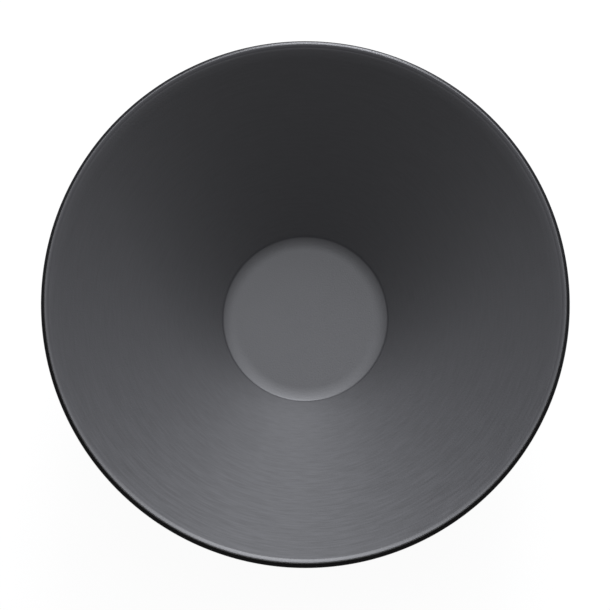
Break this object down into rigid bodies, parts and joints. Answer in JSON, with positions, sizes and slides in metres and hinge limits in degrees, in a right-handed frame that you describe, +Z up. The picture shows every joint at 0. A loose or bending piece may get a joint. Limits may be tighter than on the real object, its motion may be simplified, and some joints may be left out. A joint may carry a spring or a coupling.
{
  "type": "hair color bowl",
  "caption": "Round conical mixing bowl for hair colour, with a small flat floor, a slim two-tone lip, a low foot and a soft non-slip ring under it.",
  "frame": {"origin": "centre of the grip ring's underside, on the surface that the bowl stands on", "axes": "+Z up along the bowl's axis and out of its mouth; the bowl is round, so +X and +Y are any two directions across it"},
  "size_m": [0.15, 0.15, 0.068],
  "materials": {
    "inner_shell": "charcoal plastic, fine grain on the floor and turned rings up the wall",
    "outer_shell": "near-black plastic with a satin gloss",
    "grip_ring": "soft matt black rubber"
  },
  "bodies": {
    "root": {"inner_shell": "inner_shell", "outer_shell": "outer_shell", "grip_ring": "grip_ring"}
  },
  "joints": []
}
